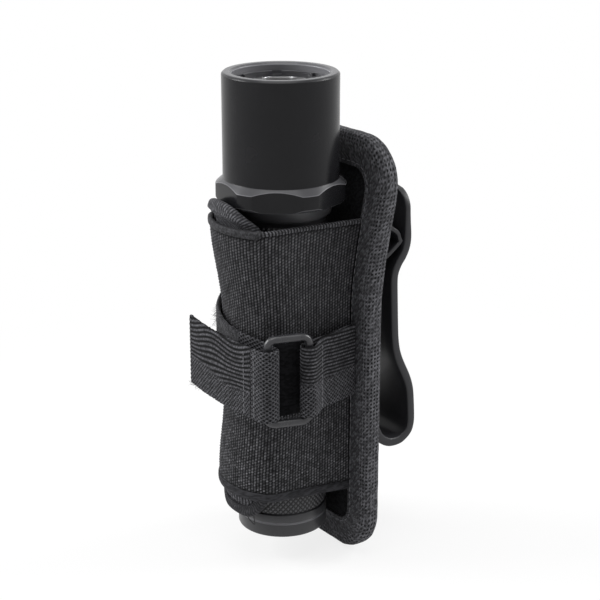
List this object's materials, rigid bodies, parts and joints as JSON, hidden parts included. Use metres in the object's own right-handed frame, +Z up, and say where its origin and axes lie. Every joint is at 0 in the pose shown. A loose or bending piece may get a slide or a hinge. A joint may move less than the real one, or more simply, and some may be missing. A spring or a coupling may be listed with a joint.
{
  "type": "tactical flashlight in belt holster",
  "caption": "Cylindrical metal flashlight with hex collar, held head up in an elastic holster with a padded back panel, closing strap and swivelling belt clip.",
  "frame": {"origin": "on the belt side of the clip plate, on its centre line, 14.5 mm above the swivel's axis", "axes": "+Z up along the flashlight towards its head, +Y out of the holster's back towards the wearer, -Y to the holster's front, +X to the side with the strap ring"},
  "size_m": [0.045, 0.0585, 0.1405],
  "materials": {
    "anodised_black": "turned, blasted and hard anodised, satin black",
    "anodised_knurled": "diamond knurled and hard anodised, satin black",
    "window_glass": "clear coated window",
    "rubber_black": "moulded, matt",
    "reflector_metal": "vacuum coated mirror with fine orange peel",
    "brass_plain": "machined",
    "circuit_board": "white solder mask",
    "led_phosphor": "phosphor under a clear dome",
    "cell_wrap": "shrink wrapped can",
    "steel_bright": "bright drawn or nickel plated",
    "plastic_black": "moulded, fine grain",
    "nylon_fabric": "black woven nylon over foam",
    "stiffener_sheet": "cut polyethylene sheet",
    "binding_tape": "black twill nylon tape, sewn over the edge",
    "ribbed_elastic": "black ribbed woven elastic",
    "loop_pile": "black webbing with brushed loop pile",
    "nylon_webbing": "black herringbone webbing, box stitched",
    "coated_wire": "black coated steel wire, satin",
    "clip_plastic": "moulded black nylon, satin"
  },
  "bodies": {
    "clip": {"clip_plate": "clip_plastic"},
    "clip_arm": {"clip_arm": "clip_plastic"},
    "holster": {"back_panel_lining": "nylon_fabric", "back_panel_stiffener": "stiffener_sheet", "back_panel_cover": "nylon_fabric", "back_panel_binding": "binding_tape", "elastic_band": "ribbed_elastic", "top_hem": "ribbed_elastic", "bottom_hem": "ribbed_elastic", "front_panel": "nylon_fabric", "front_panel_binding": "binding_tape", "strap_base": "loop_pile", "strap_anchor": "nylon_webbing", "strap_ring": "coated_wire", "swivel_flange": "plastic_black", "swivel_rivet_1": "steel_bright", "swivel_rivet_2": "steel_bright", "swivel_rivet_3": "steel_bright", "swivel_rivet_4": "steel_bright", "swivel_washer": "plastic_black", "swivel_cap": "plastic_black", "swivel_screw": "steel_bright"},
    "strap_end": {"strap_tail": "nylon_webbing"},
    "light": {"head": "anodised_black", "lens_retaining_ring": "anodised_black", "window_lens": "window_glass", "window_gasket": "rubber_black", "reflector": "reflector_metal", "lamp_body": "brass_plain", "led_board": "circuit_board", "led_emitter": "led_phosphor", "battery_tube": "anodised_knurled", "head_o_ring": "rubber_black", "tail_o_ring": "rubber_black", "battery_cell": "cell_wrap", "battery_terminal": "steel_bright", "lamp_ground_spring": "steel_bright", "lamp_contact_spring": "steel_bright"},
    "tail": {"tail_cap": "anodised_knurled", "tail_contact_spring": "steel_bright", "switch_body": "plastic_black", "switch_retaining_ring": "brass_plain"},
    "tail_button": {"switch_boot": "rubber_black", "switch_plunger": "plastic_black"}
  },
  "joints": [
    {"name": "clip_flex", "type": "hinge", "parent": "clip", "child": "clip_arm", "pos_m": [0, 0.0041, -0.0513], "axis": [-1, 0, 0], "range_deg": [0, 8], "stiffness_Nm_per_rad": 3, "springref_deg": -1.72},
    {"name": "clip_swivel", "type": "hinge", "parent": "clip", "child": "holster", "pos_m": [0, 0, -0.0145], "axis": [0, 1, 0], "continuous": true},
    {"name": "light_slide", "type": "slide", "parent": "holster", "child": "light", "axis": [0, 0, 1], "range_m": [0, 0.1]},
    {"name": "strap_peel", "type": "hinge", "parent": "holster", "child": "strap_end", "pos_m": [0.01195, -0.0432, -0.0221], "axis": [0, 0, 1], "range_deg": [0, 100]},
    {"name": "tail_cap_turn", "type": "hinge", "parent": "light", "child": "tail", "pos_m": [0, -0.0244, -0.06], "axis": [0, 0, -1], "range_deg": [0, 120]},
    {"name": "tail_button", "type": "slide", "parent": "tail", "child": "tail_button", "axis": [0, 0, 1], "range_m": [0, 0.0018], "stiffness_N_per_m": 1600, "springref_m": -0.0006}
  ]
}
